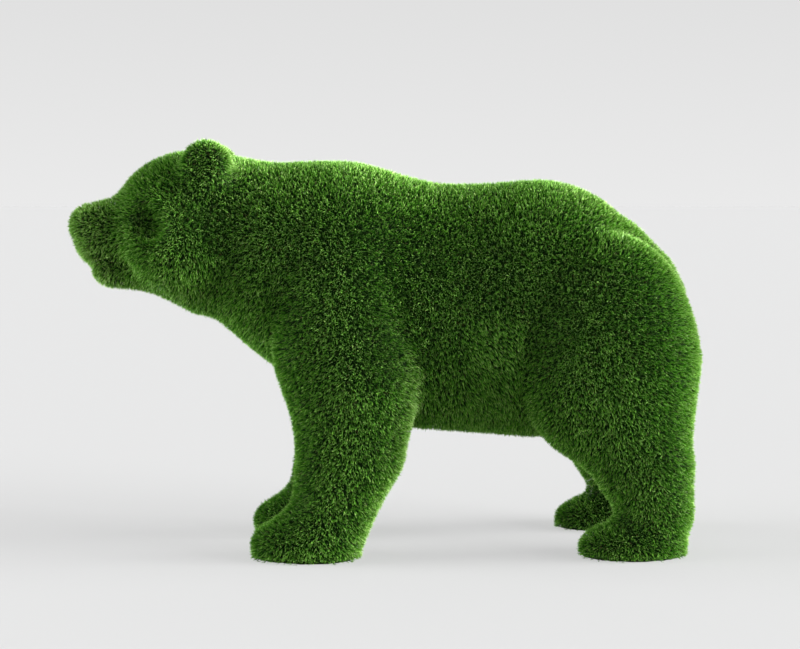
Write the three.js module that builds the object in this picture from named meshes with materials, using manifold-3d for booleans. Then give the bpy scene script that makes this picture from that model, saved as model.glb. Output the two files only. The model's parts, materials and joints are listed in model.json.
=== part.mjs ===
import * as THREE from 'three';
import { mergeVertices } from 'three/addons/utils/BufferGeometryUtils.js';
import Module from 'manifold-3d';

const wasm = await Module();
wasm.setup();

// A life-size bear clad all over in artificial grass, one hollow figure seen here as one solid.
// Millimetres, +Z up. It stands on z = 0 and faces -Y, and the origin is on the ground below the
// middle of it. The surface is where the tips of the pile end, not the shell beneath them.

// Driving dimensions of the single forms, before they run into each other.
// Heights above the ground:
const EAR_TOP = 1169;
const SHOULDER_TOP = 1096;
const BACK_TOP = 1048;
const BELLY = 334;
// Places along the back, from the nose at the low end to the rump:
const NOSE_TIP = -894;
const FORE_PAW = -233;
const HIND_PAW = 700;
const RUMP_END = 876;
// Widths, the distances between paws, and how far the right legs stand ahead of the left ones:
const BARREL_WIDTH = 436;
const HAUNCH_WIDTH = 580;
const FORE_TRACK = 316;
const HIND_TRACK = 362;
const STRIDE = 12;

// The facets: the spacing of the first net, how far it runs into the ground before the soles are
// cut, and how many triangles are kept of it.
const NET = 20;
const DEPTH = 120;
const TRIANGLES = 9600;

const clamp = (value, low, high) => Math.min(Math.max(value, low), high);
const mix = (a, b, t) => a + (b - a) * t;
const dot = (a, b) => a[0] * b[0] + a[1] * b[1] + a[2] * b[2];

// Two forms pressed together like clay, with a soft fillet about `soft` wide where they meet.
function join(a, b, soft) {
  const near = Math.max(soft - Math.abs(a - b), 0) / soft;
  return Math.min(a, b) - near * near * soft * 0.25;
}

// The second form pressed into the first as a hollow.
function press(a, b, soft) {
  return -join(-a, b, soft);
}

// An egg: half sizes `r`, leaning by `lean` radians in side view, nose up for a positive lean.
function egg(x, y, z, c, r, lean = 0) {
  const dy = y - c[1];
  const dz = z - c[2];
  const cos = Math.cos(lean);
  const sin = Math.sin(lean);
  const px = x - c[0];
  const py = dy * cos - dz * sin;
  const pz = dy * sin + dz * cos;
  const reach = Math.hypot(px / r[0], py / r[1], pz / r[2]);
  const slope = Math.hypot(px / r[0] ** 2, py / r[1] ** 2, pz / r[2] ** 2);
  return slope > 0 ? (reach * (reach - 1)) / slope : -Math.min(...r);
}

// A limb: a rod through stations [x, y, z, deep, across], its half depth and half width at each.
function limb(x, y, z, stations) {
  let form = Infinity;
  for (let n = 1; n < stations.length; n++) {
    const [ax, ay, az, aDeep, aAcross] = stations[n - 1];
    const [bx, by, bz, bDeep, bAcross] = stations[n];
    const rod = [bx - ax, by - ay, bz - az];
    const off = [x - ax, y - ay, z - az];
    const t = clamp(dot(off, rod) / dot(rod, rod), 0, 1);
    const deep = mix(aDeep, bDeep, t);
    const slim = mix(aAcross, bAcross, t) / deep;
    const reach = Math.hypot((off[0] - rod[0] * t) / slim, off[1] - rod[1] * t, off[2] - rod[2] * t);
    form = Math.min(form, (reach - deep) * Math.sqrt(slim));
  }
  return form;
}

// The trunk: a deep barrel from chest to loin, the croup behind it and the seat under the tail.
function trunk(x, y, z) {
  const middle = (BACK_TOP + BELLY) / 2;
  const deep = (BACK_TOP - BELLY) / 2;
  const across = BARREL_WIDTH / 2;
  const chest = [0, FORE_PAW + 119, middle + 60, deep - 55, across - 22];
  const girth = [0, FORE_PAW + 372, middle, deep, across];
  const loin = [0, HIND_PAW - 269, middle - 11, deep + 12, across];
  const barrel = limb(x, y, z, [chest, girth, loin]);
  const croup = egg(x, y, z, [0, HIND_PAW - 235, middle + 7], [226, 280, 321]);
  const seat = egg(x, y, z, [0, RUMP_END - 179, 560], [150, 150, 230]);
  return join(join(barrel, croup, 90), seat, 90);
}

// The neck, level with the shoulders above it, slanting to the throat below.
function neck(x, y, z) {
  const withers = [0, FORE_PAW + 120, SHOULDER_TOP - 239, 238, 208];
  const crest = [0, FORE_PAW - 85, SHOULDER_TOP - 233, 240, 198];
  const nape = [0, NOSE_TIP + 376, SHOULDER_TOP - 173, 221, 160];
  return limb(x, y, z, [withers, crest, nape]);
}

// The head: a domed skull, full cheeks, a thick muzzle with a round end, the jaw, and hollows for
// the eyes and the line of the mouth.
function head(x, y, z) {
  const side = Math.abs(x);
  const skull = egg(x, y, z, [0, NOSE_TIP + 316, 940], [164, 185, 180], 0.25);
  const cheek = egg(side, y, z, [88, NOSE_TIP + 332, 868], [108, 150, 128]);
  const brow = [0, NOSE_TIP + 251, 890, 119, 114];
  const bridge = [0, NOSE_TIP + 122, 898, 108, 88];
  const nose = [0, NOSE_TIP + 70, 926, 69, 72];
  const muzzle = limb(x, y, z, [brow, bridge, nose]);
  const throat = [0, NOSE_TIP + 376, 799, 124, 116];
  const jawMiddle = [0, NOSE_TIP + 274, 821, 85, 88];
  const chin = [0, NOSE_TIP + 129, 806, 63, 56];
  const jaw = limb(x, y, z, [throat, jawMiddle, chin]);
  const socket = egg(side, y, z, [158, NOSE_TIP + 244, 942], [52, 34, 48], -0.57);
  const lips = egg(x, y, z, [0, NOSE_TIP + 40, 799], [60, 42, 11], -0.4);
  const mouth = egg(side, y, z, [84, NOSE_TIP + 130, 826], [15, 60, 9], 0.25);
  let form = join(join(skull, cheek, 80), muzzle, 34);
  form = join(form, jaw, 40);
  form = press(form, socket, 44);
  return press(press(form, lips, 20), mouth, 32);
}

// A round cupped ear, its hollow facing out and forward.
function ear(x, y, z) {
  const side = Math.abs(x);
  const disc = egg(side, y, z, [128, NOSE_TIP + 407, EAR_TOP - 77], [58, 78, 78]);
  const cup = egg(side, y, z, [196, NOSE_TIP + 386, EAR_TOP - 80], [32, 44, 44]);
  return press(disc, cup, 40);
}

// A foreleg: shoulder blade, the upper arm standing proud of the ribs, a tapering leg, a flat paw.
function foreleg(x, y, z) {
  const side = Math.abs(x);
  const track = FORE_TRACK / 2;
  const blade = egg(side, y, z, [138, FORE_PAW + 122, 700], [112, 198, 300]);
  const upper = [track - 16, FORE_PAW + 147, 521, 205, 122];
  const elbow = [track, FORE_PAW + 143, 313, 154, 98];
  const wrist = [track, FORE_PAW + 63, 41, 108, 84];
  const leg = limb(side, y, z, [upper, elbow, wrist]);
  const shoulder = [track - 40, FORE_PAW + 152, 800, 128, 98];
  const armpit = [track + 6, FORE_PAW + 160, 500, 170, 120];
  const arm = limb(side, y, z, [shoulder, armpit, elbow]);
  const paw = egg(side, y, z, [track, FORE_PAW, 39], [87, 147, 88]);
  return join(join(join(blade, leg, 80), arm, 20), paw, 60);
}

// A hind leg: haunch and stifle, a thigh tapering to the hock, and a paw with a fold above it.
function hindLeg(x, y, z) {
  const side = Math.abs(x);
  const track = HIND_TRACK / 2;
  const haunch = egg(side, y, z, [HAUNCH_WIDTH / 2 - 140, RUMP_END - 252, 597], [140, 253, 318]);
  const stifle = egg(side, y, z, [166, HIND_PAW - 149, 546], [122, 174, 266]);
  const thigh = [track - 36, HIND_PAW - 41, 478, 232, 138];
  const knee = [track, HIND_PAW + 32, 255, 146, 98];
  const hock = [track, HIND_PAW + 67, 128, 112, 84];
  const leg = limb(side, y, z, [thigh, knee, hock]);
  const paw = egg(side, y, z, [track, HIND_PAW, 27], [92, 161, 83]);
  return join(join(join(haunch, leg, 80), stifle, 30), paw, 30);
}

// A short tail that lies flat down the middle of the rump, broad at its root.
function tail(x, y, z) {
  const root = [0, RUMP_END - 170, 878, 52, 70];
  const middle = [0, RUMP_END - 75, 799, 50, 64];
  const tip = [0, RUMP_END - 31, 737, 41, 52];
  return limb(x, y, z, [root, middle, tip]);
}

// The whole bear, below zero inside.
function bear(x, y, z) {
  const ahead = STRIDE * (0.5 - clamp(x / HAUNCH_WIDTH, -0.5, 0.5));
  let form = join(trunk(x, y, z), neck(x, y, z), 120);
  form = join(form, head(x, y, z), 36);
  form = join(form, ear(x, y, z), 34);
  form = join(form, foreleg(x, y + ahead, z), 16);
  form = join(form, hindLeg(x, y + ahead, z), 16);
  return join(form, tail(x, y, z), 50);
}

// Grid lines from `low` to past `high`, a net's spacing apart.
function lines(low, high) {
  const count = Math.ceil((high - low) / NET) + 1;
  return Array.from({ length: count }, (_, n) => low + n * NET);
}

// The outward slope of the form, for moving a point onto its surface.
function slopeAt(p) {
  const e = 1;
  return [0, 1, 2].map((axis) => {
    const ahead = [...p];
    const behind = [...p];
    ahead[axis] += e;
    behind[axis] -= e;
    return (bear(...ahead) - bear(...behind)) / (2 * e);
  });
}

// The corners of one grid cell, and the twelve edges between them.
const CORNERS = [0, 1, 2, 3, 4, 5, 6, 7].map((n) => [n & 1, (n >> 1) & 1, n >> 2]);
const EDGES = CORNERS.flatMap((a, m) => CORNERS.slice(m + 1)
  .filter((b) => Math.abs(a[0] - b[0]) + Math.abs(a[1] - b[1]) + Math.abs(a[2] - b[2]) === 1)
  .map((b) => [a, b]));

// A net over the surface: one point in each grid cell that the surface crosses, moved onto the
// surface, and four of them joined around each grid line that it cuts.
function net(xs, ys, zs) {
  const at = (i, j, k) => (k * ys.length + j) * xs.length + i;
  const field = new Float64Array(xs.length * ys.length * zs.length);
  zs.forEach((z, k) => ys.forEach((y, j) => xs.forEach((x, i) => {
    field[at(i, j, k)] = bear(x, y, z);
  })));
  const points = [];
  const pointOf = new Map();
  const settle = (i, j, k) => {
    const corner = (c) => [xs[i + c[0]], ys[j + c[1]], zs[k + c[2]]];
    const value = (c) => field[at(i + c[0], j + c[1], k + c[2])];
    const cut = EDGES.filter(([a, b]) => value(a) < 0 !== value(b) < 0).map(([a, b]) => {
      const t = value(a) / (value(a) - value(b));
      return corner(a).map((from, n) => mix(from, corner(b)[n], t));
    });
    if (!cut.length) return;
    const p = [0, 1, 2].map((n) => cut.reduce((sum, point) => sum + point[n], 0) / cut.length);
    const low = corner([0, 0, 0]);
    const high = corner([1, 1, 1]);
    for (let step = 0; step < 3; step++) {
      const slope = slopeAt(p);
      const off = bear(...p) / dot(slope, slope);
      slope.forEach((s, n) => { p[n] = clamp(p[n] - s * off, low[n], high[n]); });
    }
    pointOf.set(at(i, j, k), points.length);
    points.push(p);
  };
  for (let k = 0; k < zs.length - 1; k++) {
    for (let j = 0; j < ys.length - 1; j++) {
      for (let i = 0; i < xs.length - 1; i++) settle(i, j, k);
    }
  }
  const faces = [];
  const far = (a, b) => Math.hypot(...points[a].map((value, n) => value - points[b][n]));
  const quad = (a, b, c, d, flip) => {
    const [p, q, r, s] = flip ? [a, d, c, b] : [a, b, c, d];
    if (far(p, r) < far(q, s)) faces.push([p, q, r], [p, r, s]);
    else faces.push([q, r, s], [q, s, p]);
  };
  for (let k = 1; k < zs.length - 1; k++) {
    for (let j = 1; j < ys.length - 1; j++) {
      for (let i = 1; i < xs.length - 1; i++) {
        const here = field[at(i, j, k)] < 0;
        const cell = (a, b, c) => pointOf.get(at(i - a, j - b, k - c));
        if (here !== field[at(i + 1, j, k)] < 0) {
          quad(cell(0, 1, 1), cell(0, 0, 1), cell(0, 0, 0), cell(0, 1, 0), !here);
        }
        if (here !== field[at(i, j + 1, k)] < 0) {
          quad(cell(1, 0, 1), cell(1, 0, 0), cell(0, 0, 0), cell(0, 0, 1), !here);
        }
        if (here !== field[at(i, j, k + 1)] < 0) {
          quad(cell(1, 1, 0), cell(0, 1, 0), cell(0, 0, 0), cell(1, 0, 0), !here);
        }
      }
    }
  }
  return { points, faces };
}

// A queue that gives back its cheapest entry first.
class Queue {
  heap = [];

  swap(i, j) {
    [this.heap[i], this.heap[j]] = [this.heap[j], this.heap[i]];
  }

  push(entry) {
    let i = this.heap.push(entry) - 1;
    for (let up = (i - 1) >> 1; i > 0 && this.heap[up].cost > this.heap[i].cost; up = (i - 1) >> 1) {
      this.swap(i, up);
      i = up;
    }
  }

  pop() {
    const top = this.heap[0];
    const last = this.heap.pop();
    if (!this.heap.length) return top;
    this.heap[0] = last;
    for (let i = 0; ;) {
      let least = i;
      for (const child of [2 * i + 1, 2 * i + 2]) {
        if (this.heap[child]?.cost < this.heap[least].cost) least = child;
      }
      if (least === i) return top;
      this.swap(i, least);
      i = least;
    }
  }
}

// The plane of a triangle: its unit normal, its offset, and twice its area.
function planeOf([a, b, c]) {
  const u = b.map((value, n) => value - a[n]);
  const v = c.map((value, n) => value - a[n]);
  const n = [u[1] * v[2] - u[2] * v[1], u[2] * v[0] - u[0] * v[2], u[0] * v[1] - u[1] * v[0]];
  const area = Math.hypot(...n) || 1e-9;
  return { plane: [n[0] / area, n[1] / area, n[2] / area, -dot(n, a) / area], area };
}

// The net drawn coarser where the form is plain: the edge whose loss moves the surface least goes
// first, until `keep` triangles are left. `EVEN` weighs the length of an edge against that move,
// and no facet turns past `TURN`, as a cosine, or shrinks below `SMALL`.
const EVEN = 0.02;
const TURN = 0.5;
const SMALL = 20;

function simplify(points, faces, keep) {
  const facesOf = points.map(() => new Set());
  faces.forEach((face, n) => face.forEach((v) => facesOf[v].add(n)));
  const moves = points.map(() => new Float64Array(16));
  faces.forEach((face) => {
    const { plane, area } = planeOf(face.map((v) => points[v]));
    plane.forEach((p, i) => plane.forEach((q, j) => face.forEach((v) => {
      moves[v][4 * i + j] += p * q * area;
    })));
  });
  const version = points.map(() => 0);
  const queue = new Queue();
  const offer = (a, b) => {
    const both = moves[a].map((value, n) => value + moves[b][n]);
    const moveTo = (p) => {
      const h = [...p, 1];
      return h.reduce((sum, s, i) => sum + s * h.reduce((row, t, j) => row + both[4 * i + j] * t, 0), 0);
    };
    const middle = points[a].map((value, n) => (value + points[b][n]) / 2);
    const length = Math.hypot(...points[a].map((value, n) => value - points[b][n]));
    const to = [points[a], points[b]].reduce((m, p) => (moveTo(p) < moveTo(m) ? p : m), middle);
    queue.push({ cost: moveTo(to) + EVEN * length ** 3, a, b, to, stamp: [version[a], version[b]] });
  };
  const around = (v) => new Set([...facesOf[v]].flatMap((n) => faces[n]).filter((w) => w !== v));
  points.forEach((_, v) => around(v).forEach((w) => { if (v < w) offer(v, w); }));
  let left = faces.length;
  while (left > keep && queue.heap.length) {
    const { a, b, to, stamp } = queue.pop();
    if (stamp[0] !== version[a] || stamp[1] !== version[b]) continue;
    const near = around(b);
    if ([...around(a)].filter((v) => near.has(v)).length !== 2) continue;
    const touched = [...new Set([...facesOf[a], ...facesOf[b]])];
    const gone = touched.filter((n) => faces[n].includes(a) && faces[n].includes(b));
    const spoilt = touched.some((n) => {
      if (gone.includes(n)) return false;
      const before = planeOf(faces[n].map((v) => points[v]));
      const after = planeOf(faces[n].map((v) => (v === a || v === b ? to : points[v])));
      return dot(before.plane, after.plane) < TURN || after.area < SMALL;
    });
    if (spoilt) continue;
    gone.forEach((n) => {
      faces[n].forEach((v) => facesOf[v].delete(n));
      faces[n] = null;
      left--;
    });
    facesOf[b].forEach((n) => {
      faces[n] = faces[n].map((v) => (v === b ? a : v));
      facesOf[a].add(n);
    });
    facesOf[b].clear();
    points[a] = to;
    moves[a] = moves[a].map((value, n) => value + moves[b][n]);
    version[b] = -1;
    version[a]++;
    around(a).forEach((w) => offer(a, w));
  }
  return faces.filter(Boolean);
}

function geometryOf(points, index) {
  const geometry = new THREE.BufferGeometry();
  geometry.setAttribute('position', new THREE.Float32BufferAttribute(points, 3));
  geometry.setIndex(index);
  return geometry;
}

// A closed body for cutting.
function solidOf(geometry) {
  const bare = geometry.clone();
  bare.deleteAttribute('normal');
  bare.deleteAttribute('uv');
  const merged = mergeVertices(bare);
  const vertProperties = new Float32Array(merged.attributes.position.array);
  const triVerts = new Uint32Array(merged.index.array);
  return new wasm.Manifold(new wasm.Mesh({ numProp: 3, vertProperties, triVerts }));
}

// The bear is netted a little into the ground, and the ground is then cut away, so that it
// stands on four flat soles.
function turfBear() {
  const half = HAUNCH_WIDTH / 2 + 2 * NET;
  const xs = lines(-half, half);
  const ys = lines(NOSE_TIP - 2 * NET, RUMP_END + 3 * NET);
  const zs = lines(-DEPTH, EAR_TOP + 2 * NET);
  const { points, faces } = net(xs, ys, zs);
  const kept = simplify(points, faces, TRIANGLES).flat();
  const used = [...new Set(kept)];
  const placeOf = new Map(used.map((v, n) => [v, n]));
  const form = geometryOf(used.flatMap((v) => points[v]), kept.map((v) => placeOf.get(v)));
  const ground = new THREE.BoxGeometry(4 * half, 4 * RUMP_END, 2 * DEPTH);
  ground.translate(0, 0, -DEPTH);
  const { vertProperties, triVerts } = solidOf(form).subtract(solidOf(ground)).getMesh();
  const geometry = geometryOf([...vertProperties], [...triVerts]);
  geometry.computeVertexNormals();
  const turf = new THREE.MeshStandardMaterial({ color: 0x3c6b1f, roughness: 0.85, metalness: 0 });
  const mesh = new THREE.Mesh(geometry, turf);
  mesh.name = 'bear';
  return mesh;
}

const topiary = new THREE.Group();
topiary.add(turfBear());

export default topiary;
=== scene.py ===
import json
import math

import bpy
import numpy as np
from mathutils import Matrix, Vector, kdtree

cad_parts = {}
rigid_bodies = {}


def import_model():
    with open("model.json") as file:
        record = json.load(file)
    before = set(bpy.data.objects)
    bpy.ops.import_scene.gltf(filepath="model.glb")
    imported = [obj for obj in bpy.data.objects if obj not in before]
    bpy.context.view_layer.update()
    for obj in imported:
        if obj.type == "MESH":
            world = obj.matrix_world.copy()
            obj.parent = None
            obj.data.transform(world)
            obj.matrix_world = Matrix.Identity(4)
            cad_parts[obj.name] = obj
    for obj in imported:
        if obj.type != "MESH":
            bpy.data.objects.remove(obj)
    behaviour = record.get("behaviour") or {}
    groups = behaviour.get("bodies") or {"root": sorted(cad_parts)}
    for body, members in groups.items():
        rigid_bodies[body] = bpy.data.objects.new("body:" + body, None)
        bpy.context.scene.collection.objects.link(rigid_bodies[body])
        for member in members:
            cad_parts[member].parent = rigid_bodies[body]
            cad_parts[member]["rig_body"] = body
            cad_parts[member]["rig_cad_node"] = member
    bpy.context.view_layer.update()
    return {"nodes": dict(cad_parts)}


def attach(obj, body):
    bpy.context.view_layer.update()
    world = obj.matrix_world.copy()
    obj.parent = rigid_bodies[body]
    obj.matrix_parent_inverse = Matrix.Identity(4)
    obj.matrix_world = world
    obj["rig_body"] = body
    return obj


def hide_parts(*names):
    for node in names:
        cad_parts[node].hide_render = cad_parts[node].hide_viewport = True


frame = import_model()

bpy.ops.object.select_all(action="DESELECT")

# The camera stands four metres off the bear's left side, a metre above the floor, a little
# towards its head, and looks slightly down.
CAMERA_PLACE = (4.016, -0.159, 0.990)
CAMERA_TILT = 90 - 4.96
CAMERA_HEADING = 87
SENSOR_WIDTH = 36
LENS = 63
bpy.ops.object.camera_add(
    location=CAMERA_PLACE,
    rotation=(math.radians(CAMERA_TILT), 0, math.radians(CAMERA_HEADING)),
)
camera = bpy.context.object
camera.data.sensor_width = SENSOR_WIDTH
camera.data.lens = LENS
bpy.context.scene.camera = camera

# A plain pale floor, so wide that it ends at the horizon. It glows a little, as a lit studio
# table does.
FLOOR_RADIUS = 400
FLOOR_COLOUR = (0.170, 0.170, 0.170, 1)
FLOOR_GLOW = 0.50
bpy.ops.mesh.primitive_circle_add(
    vertices=64, radius=FLOOR_RADIUS, fill_type="NGON", location=(0, 0, 0)
)
floor = bpy.context.object
floor.name = "studio_floor"
pale = bpy.data.materials.new("pale_floor")
pale.use_nodes = True
pale_shader = pale.node_tree.nodes["Principled BSDF"]
pale_shader.inputs["Base Color"].default_value = FLOOR_COLOUR
pale_shader.inputs["Emission Color"].default_value = (1, 1, 1, 1)
pale_shader.inputs["Emission Strength"].default_value = FLOOR_GLOW
pale_shader.inputs["Roughness"].default_value = 1.0
pale_shader.inputs["Specular IOR Level"].default_value = 0.0
floor.data.materials.append(pale)

# The air fills the scene with even light. Seen directly, it has the floor's tone at the horizon
# and is a little darker above.
AIR_COLOUR = (0.98, 0.99, 1.0, 1)
AIR_LIGHT = 0.54
AIR_AT_HORIZON = (0.822, 0.822, 0.822)
AIR_ABOVE = (0.740, 0.740, 0.740)
ABOVE = 0.16


class Wire:
    """The output socket of a shader node, to be led to the sockets of others."""

    def __init__(self, tree, socket):
        self.tree = tree
        self.socket = socket

    def over(self, low, high):
        """0 below `low`, 1 above `high`, and smooth between them."""
        settings = {"interpolation_type": "SMOOTHSTEP"}
        values = {"Value": self, "From Min": low, "From Max": high}
        return node(self.tree, "ShaderNodeMapRange", settings, values)


def node(tree, kind, settings=None, values=None, out=0):
    """A new node of a kind: its settings, the values or wires of its sockets, and one output."""
    made = tree.nodes.new(kind)
    for key, value in (settings or {}).items():
        if key == "stops":
            ramp = made.color_ramp
            while len(ramp.elements) < len(value):
                ramp.elements.new(0.5)
            for element, (position, colour) in zip(ramp.elements, value):
                element.position = position
                element.color = (*colour, 1)
        else:
            setattr(made, key, value)
    pairs = values.items() if isinstance(values, dict) else enumerate(values or ())
    for key, value in pairs:
        if isinstance(value, Wire):
            tree.links.new(value.socket, made.inputs[key])
        else:
            made.inputs[key].default_value = value
    return Wire(tree, made.outputs[out])


air = bpy.data.worlds.new("studio_air")
bpy.context.scene.world = air
air.use_nodes = True
tree = air.node_tree
fill_node = tree.nodes["Background"]
fill_node.inputs["Color"].default_value = AIR_COLOUR
fill_node.inputs["Strength"].default_value = AIR_LIGHT
fill = Wire(tree, fill_node.outputs["Background"])
gaze = node(tree, "ShaderNodeTexCoord", out="Generated")
climb = node(tree, "ShaderNodeSeparateXYZ", {}, (gaze,), out="Z")
air_stops = {"stops": ((0.0, AIR_AT_HORIZON), (ABOVE, AIR_ABOVE))}
air_tone = node(tree, "ShaderNodeValToRGB", air_stops, (climb,))
seen = node(tree, "ShaderNodeBackground", {}, {"Color": air_tone})
by_camera = node(tree, "ShaderNodeLightPath", out="Is Camera Ray")
whole_air = node(tree, "ShaderNodeMixShader", {}, (by_camera, fill, seen))
tree.links.new(whole_air.socket, tree.nodes["World Output"].inputs["Surface"])

# Four broad soft lights: over the back, along the ground and along the flank from the rump's
# side, and from beyond the nose. A row is a name, the way to the light, its strength and its
# width in degrees.
LIGHTS = (
    ("back_light", (-0.25, 0.10, 1.0), 0.2, 60),
    ("rump_light", (0.09, 1.0, 0.00), 32.0, 30),
    ("side_light", (0.45, 1.0, 0.35), 2.4, 20),
    ("nose_light", (-0.05, -1.0, 0.10), 10.0, 40),
)
for name, towards, strength, angle in LIGHTS:
    bpy.ops.object.light_add(type="SUN", location=(0, 0, 5))
    light = bpy.context.object
    light.name = name
    light.data.energy = strength
    light.data.angle = math.radians(angle)
    light.rotation_euler = Vector(towards).to_track_quat("Z", "Y").to_euler()

bpy.context.scene.view_settings.view_transform = "Standard"

# The backing: the woven sheet that the grass is tufted into, glued over the whole shell. The
# solid of the frame ends at the tips of the pile, so the backing is a copy of it, drawn smooth and
# pulled in by the depth of the pile. Its soles stay flat on the floor.
PILE = 0.024
WELD = 0.0001
NET = 0.011
SMOOTH_SHARE = 0.5
SMOOTH_ROUNDS = 4
SOLE_RISE = 0.05
SOLE_GAP = 0.0005
PATCHES_PER_METRE = 60.0
DARK_WEAVE = (0.004, 0.014, 0.002)
LIGHT_WEAVE = (0.010, 0.026, 0.005)

bpy.ops.object.select_all(action="DESELECT")
bear = frame["nodes"]["bear"]
backing = bear.copy()
backing.data = bear.data.copy()
backing.name = "turf_backing"
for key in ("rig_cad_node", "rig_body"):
    if key in backing:
        del backing[key]
bpy.context.scene.collection.objects.link(backing)
backing.parent = None
backing.matrix_world = Matrix.Identity(4)
bpy.context.view_layer.objects.active = backing
backing.select_set(True)
bpy.ops.object.mode_set(mode="EDIT")
bpy.ops.mesh.select_all(action="SELECT")
bpy.ops.mesh.remove_doubles(threshold=WELD)
bpy.ops.object.mode_set(mode="OBJECT")
remesh = backing.modifiers.new("even_net", "REMESH")
remesh.mode = "VOXEL"
remesh.voxel_size = NET
bpy.ops.object.modifier_apply(modifier=remesh.name)
smooth = backing.modifiers.new("smooth", "SMOOTH")
smooth.factor = SMOOTH_SHARE
smooth.iterations = SMOOTH_ROUNDS
bpy.ops.object.modifier_apply(modifier=smooth.name)


def columns(data, name, width):
    """A mesh property read as an array, `width` numbers to a row."""
    values = np.empty(len(data) * width, np.float32)
    data.foreach_get(name, values)
    return values.reshape(-1, width).astype(float)


skin = columns(backing.data.vertices, "co", 3)
outward = columns(backing.data.vertices, "normal", 3)
near_floor = 1 - np.clip(skin[:, 2] / SOLE_RISE, 0, 1)
outward[:, 2] *= 1 - near_floor
inset = skin - outward * PILE
inset[:, 2] = np.maximum(inset[:, 2], SOLE_GAP)
backing.data.vertices.foreach_set("co", inset.astype(np.float32).ravel())
backing.data.update()
bpy.ops.object.shade_smooth()

weave = bpy.data.materials.new("tufted_backing")
weave.use_nodes = True
tree = weave.node_tree
weave_shader = tree.nodes["Principled BSDF"]
place = node(tree, "ShaderNodeTexCoord", out="Object")
patch_values = {"Vector": place, "Scale": PATCHES_PER_METRE, "Detail": 3.0}
patches = node(tree, "ShaderNodeTexNoise", {}, patch_values)
weave_stops = {"stops": ((0.3, DARK_WEAVE), (0.7, LIGHT_WEAVE))}
soil = node(tree, "ShaderNodeValToRGB", weave_stops, (patches,))
tree.links.new(soil.socket, weave_shader.inputs["Base Color"])
weave_shader.inputs["Roughness"].default_value = 0.9
weave_shader.inputs["Specular IOR Level"].default_value = 0.1
backing.data.materials.clear()
backing.data.materials.append(weave)
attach(backing, "root")
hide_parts("bear")

# The pile: flat tapering blades of green plastic in small tufts, standing off the backing and
# drooping a little, with short curls of straw-coloured thatch between their roots. It is laid as
# six meshes, because one mesh of all its blades would be too large.
TUFT_GAP = 0.0046
TRIES = 3
BLADES = 4
TUFT_SPREAD = 0.0018
TUFT_FAN = 0.18
TUFT_LEAN = 0.12
BLADE_LEAN = 0.13
BLADE_WIDTH = 0.0019
WIDTH_SHARES = (0.8, 1.2)
LENGTH_SHARE = 0.98
LENGTH_NOISE = 0.08
DROOP = (0, 0, -0.12)
RISE_LEAN = 0.7
BEND_LEAN = 1.5
BEND_DROOP = 2.0
KNEE = 0.7
BEYOND_KNEE = 0.32
THATCH_SHARE = 0.08
THATCH_LENGTHS = (0.008, 0.014)
THATCH_CURL = 0.9
SOLE_HEIGHT = 0.004
FLOOR_GAP = 0.001
rng = np.random.default_rng(7)

# The sheet of turf on each flank, between foreleg and haunch, is combed down and back, and the
# combing fades out towards the sheet's edges.
COMBED_MIDDLE = (0.0, 0.297, 0.500)
COMBED_HALF = (1.0, 0.092, 0.190)
COMBED_EDGE = 0.04
COMBED_FROM_SPINE = 0.1
COMBED = (0.0, 0.42, -0.26)

mesh = backing.data
mesh.calc_loop_triangles()
corner = columns(mesh.vertices, "co", 3)
normal = columns(mesh.vertices, "normal", 3)
facet = np.empty(len(mesh.loop_triangles) * 3, np.int32)
mesh.loop_triangles.foreach_get("vertices", facet)
facet = facet.reshape(-1, 3)
side_a = skin[facet[:, 1]] - skin[facet[:, 0]]
side_b = skin[facet[:, 2]] - skin[facet[:, 0]]
cross = np.cross(side_a, side_b)
area = np.linalg.norm(cross, axis=1) / 2
on_sole = (corner[facet, 2].mean(1) < SOLE_HEIGHT) & (cross[:, 2] < 0)
chance = np.cumsum(np.where(on_sole, 0, area))


def unit(vectors):
    """Each row brought to a length of one."""
    return vectors / np.maximum(np.linalg.norm(vectors, axis=1), 1e-9)[:, None]


# Many places are tried at random over the pile's outer face, and one is kept where no kept one
# stands within the gap, which spaces the tufts evenly without any rows.
tried = int(chance[-1] / TUFT_GAP**2 * TRIES)
pick = np.searchsorted(chance, rng.random(tried) * chance[-1])
u, v = rng.random((2, tried))
fold = u + v > 1
u[fold], v[fold] = 1 - u[fold], 1 - v[fold]
share = np.stack([1 - u - v, u, v], 1)
outer = (skin[facet[pick]] * share[:, :, None]).sum(1)
spots = kdtree.KDTree(tried)
for n, spot in enumerate(outer):
    spots.insert(spot, n)
spots.balance()
free = np.ones(tried, bool)
for n, spot in enumerate(outer):
    if free[n]:
        for _, other, _ in spots.find_range(spot, TUFT_GAP):
            free[other] = other == n
pick, share = pick[free], share[free]
tufts = len(pick)
tuft_root = (corner[facet[pick]] * share[:, :, None]).sum(1)
tuft_up = unit((normal[facet[pick]] * share[:, :, None]).sum(1))
tuft_lean = rng.normal(0, TUFT_LEAN, (tufts, 3))
tuft_tone = rng.normal(0, 1, tufts)

# Each blade is a narrow strip of two triangles that bends at its knee and ends in a point.
count = tufts * BLADES
tuft = np.repeat(np.arange(tufts), BLADES)
stand = tuft_root[tuft]
up = tuft_up[tuft]
along = unit(np.cross(up, rng.normal(0, 1, (count, 3))))
across = np.cross(up, along)
reach = TUFT_SPREAD * np.sqrt(rng.random(count))
offset = along * reach[:, None]
root = stand + offset
thatch = rng.random(count) < THATCH_SHARE
thatch_length = rng.uniform(*THATCH_LENGTHS, count)
blade_length = rng.normal(LENGTH_SHARE, LENGTH_NOISE, count) * PILE
length = np.where(thatch, thatch_length, blade_length)
fan = offset / TUFT_SPREAD * TUFT_FAN
lean = tuft_lean[tuft] + fan + rng.normal(0, BLADE_LEAN, (count, 3))
lean[thatch] += rng.normal(0, THATCH_CURL, (thatch.sum(), 3))
from_edge = (COMBED_HALF - np.abs(stand - COMBED_MIDDLE)) / COMBED_EDGE
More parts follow.
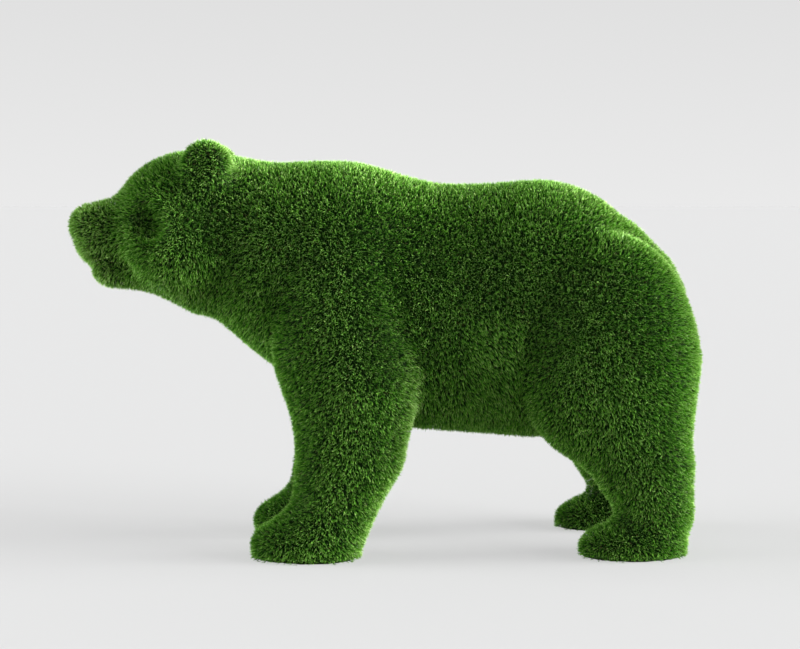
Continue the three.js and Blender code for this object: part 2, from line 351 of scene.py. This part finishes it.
combed = np.clip(from_edge, 0, 1).prod(1) * (np.abs(stand[:, 0]) > COMBED_FROM_SPINE)
droop = np.tile(DROOP, (count, 1)) + combed[:, None] * COMBED
rise = unit(up + lean * RISE_LEAN + droop)
bend = unit(up + lean * BEND_LEAN + BEND_DROOP * droop)
width = BLADE_WIDTH * rng.uniform(*WIDTH_SHARES, count)
twist = rng.uniform(0, 2 * math.pi, count)
flat = unit(np.cross(rise, along * np.cos(twist)[:, None] + across * np.sin(twist)[:, None]))
half = flat * width[:, None] / 2
knee = root + rise * (length * KNEE)[:, None]
tip = knee + bend * (length * BEYOND_KNEE)[:, None]
points = np.stack([root, knee - half, knee + half, tip], 1)
points[:, :, 2] = np.maximum(points[:, :, 2], FLOOR_GAP)
STRIP = np.array([0, 1, 2, 2, 1, 3])

# Tones run from 0, deep green, to 0.8, pale, and above that they are straw. The blades that face
# the rump's side and those on the muzzle are made paler as painted light, for the light that falls
# on those sides.
TONE = 0.31
TUFT_TONES = 0.06
BLADE_TONES = 0.17
DEEPEST = 0.02
PALEST = 0.8
STRAW_TONES = (0.88, 0.98)
PAINTED_LIGHT_PALING = 0.60
RUMP_LIGHT_SIDE = (0.0, 0.94, 0.34)
RUMP_LIGHT_FROM = 0.25
LIT_MUZZLE_FROM = -0.66
LIT_MUZZLE_EDGE = 0.12
LIT_MUZZLE_SHARE = 0.45
# Painted light: tones are raised on blades that face the rump's side and on the muzzle, where the
# lights fall.
lit_rump_side = np.clip(up @ np.array(RUMP_LIGHT_SIDE) - RUMP_LIGHT_FROM, 0, 1)
lit_muzzle = np.clip((LIT_MUZZLE_FROM - stand[:, 1]) / LIT_MUZZLE_EDGE, 0, 1)
painted_light = PAINTED_LIGHT_PALING * np.maximum(lit_rump_side, LIT_MUZZLE_SHARE * lit_muzzle)
tone = TONE + painted_light + TUFT_TONES * tuft_tone[tuft] + rng.normal(0, BLADE_TONES, count)
tone = np.clip(tone, DEEPEST, PALEST)
tone[thatch] = rng.uniform(*STRAW_TONES, thatch.sum())

# The plastic: every blade's two UV numbers are its tone and the height along it, and the colours
# are read from them. Roots are nearly black, which is painted shade deep in the pile. Shafts are
# green. Tips are pale, partly their own lighter colour and partly painted highlight for the light
# that catches the tips.
HEIGHTS = np.array([0.02, 0.7, 0.7, 0.98])
SHADED_ROOT_COLOURS = (
    (0.0, (0.002, 0.010, 0.001)),
    (0.8, (0.005, 0.026, 0.002)),
    (0.87, (0.020, 0.016, 0.007)),
)
SHAFT_COLOURS = (
    (0.0, (0.010, 0.065, 0.003)),
    (0.35, (0.060, 0.250, 0.010)),
    (0.8, (0.250, 0.480, 0.070)),
    (0.87, (0.160, 0.120, 0.060)),
)
TIP_AND_HIGHLIGHT_COLOURS = (
    (0.0, (0.110, 0.300, 0.028)),
    (0.35, (0.300, 0.600, 0.085)),
    (0.8, (0.680, 0.880, 0.390)),
    (0.87, (0.300, 0.230, 0.120)),
)


def blend(tree, amount, under, over):
    """One colour laid over another by an amount, on the colour sockets of a Mix node."""
    values = {"Factor": amount, 6: under, 7: over}
    return node(tree, "ShaderNodeMix", {"data_type": "RGBA"}, values, out=2)


grass = bpy.data.materials.new("grass_blades")
grass.use_nodes = True
tree = grass.node_tree
grass_shader = tree.nodes["Principled BSDF"]
chart = node(tree, "ShaderNodeUVMap", {"uv_map": "OFBake"})
blade_tone = node(tree, "ShaderNodeSeparateXYZ", {}, (chart,), out="X")
blade_height = node(tree, "ShaderNodeSeparateXYZ", {}, (chart,), out="Y")
shaded_root_colour = node(tree, "ShaderNodeValToRGB", {"stops": SHADED_ROOT_COLOURS}, (blade_tone,))
shaft_colour = node(tree, "ShaderNodeValToRGB", {"stops": SHAFT_COLOURS}, (blade_tone,))
tip_and_highlight_colour = node(tree, "ShaderNodeValToRGB", {"stops": TIP_AND_HIGHLIGHT_COLOURS}, (blade_tone,))
# Painted shade darkens each blade towards its root, and the tip colours add a painted highlight
# towards its tip.
shaft = blend(tree, blade_height.over(0.25, 0.85), shaded_root_colour, shaft_colour)
blade = blend(tree, blade_height.over(0.70, 1.0), shaft, tip_and_highlight_colour)
tree.links.new(blade.socket, grass_shader.inputs["Base Color"])
grass_shader.inputs["Roughness"].default_value = 0.45
grass_shader.inputs["Specular IOR Level"].default_value = 0.18

# The pile is laid from nose to rump. A row is a mesh's name, how far back it reaches and how far
# down, and it takes the blades there that no row before it has.
ANY_Y = 9.0
ANY_Z = -9.0
REGIONS = (
    ("turf_head", -0.42, ANY_Z),
    ("turf_shoulders", 0.10, 0.45),
    ("turf_forelegs", 0.10, ANY_Z),
    ("turf_flanks", 0.42, ANY_Z),
    ("turf_haunches", ANY_Y, 0.50),
    ("turf_hind_legs", ANY_Y, ANY_Z),
)
unlaid = np.ones(count, bool)
for name, back_to, down_to in REGIONS:
    mine = unlaid & (stand[:, 1] < back_to) & (stand[:, 2] > down_to)
    unlaid &= ~mine
    total = int(mine.sum())
    corners = points[mine].reshape(-1, 3)
    uv = np.stack([np.repeat(tone[mine], len(HEIGHTS)), np.tile(HEIGHTS, total)], 1)
    first = np.arange(total)[:, None] * len(HEIGHTS)
    triangles = (first + STRIP).reshape(-1, 3)
    pile_mesh = bpy.data.meshes.new(name)
    pile_mesh.vertices.add(len(corners))
    pile_mesh.vertices.foreach_set("co", corners.astype(np.float32).ravel())
    pile_mesh.loops.add(triangles.size)
    pile_mesh.loops.foreach_set("vertex_index", triangles.astype(np.int32).ravel())
    pile_mesh.polygons.add(len(triangles))
    pile_mesh.polygons.foreach_set("loop_start", np.arange(0, triangles.size, 3, dtype=np.int32))
    pile_mesh.update(calc_edges=True)
    layer = pile_mesh.uv_layers.new(name="OFBake")
    layer.data.foreach_set("uv", uv[triangles.ravel()].astype(np.float32).ravel())
    pile = bpy.data.objects.new(name, pile_mesh)
    bpy.context.scene.collection.objects.link(pile)
    pile.data.materials.append(grass)
    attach(pile, "root")
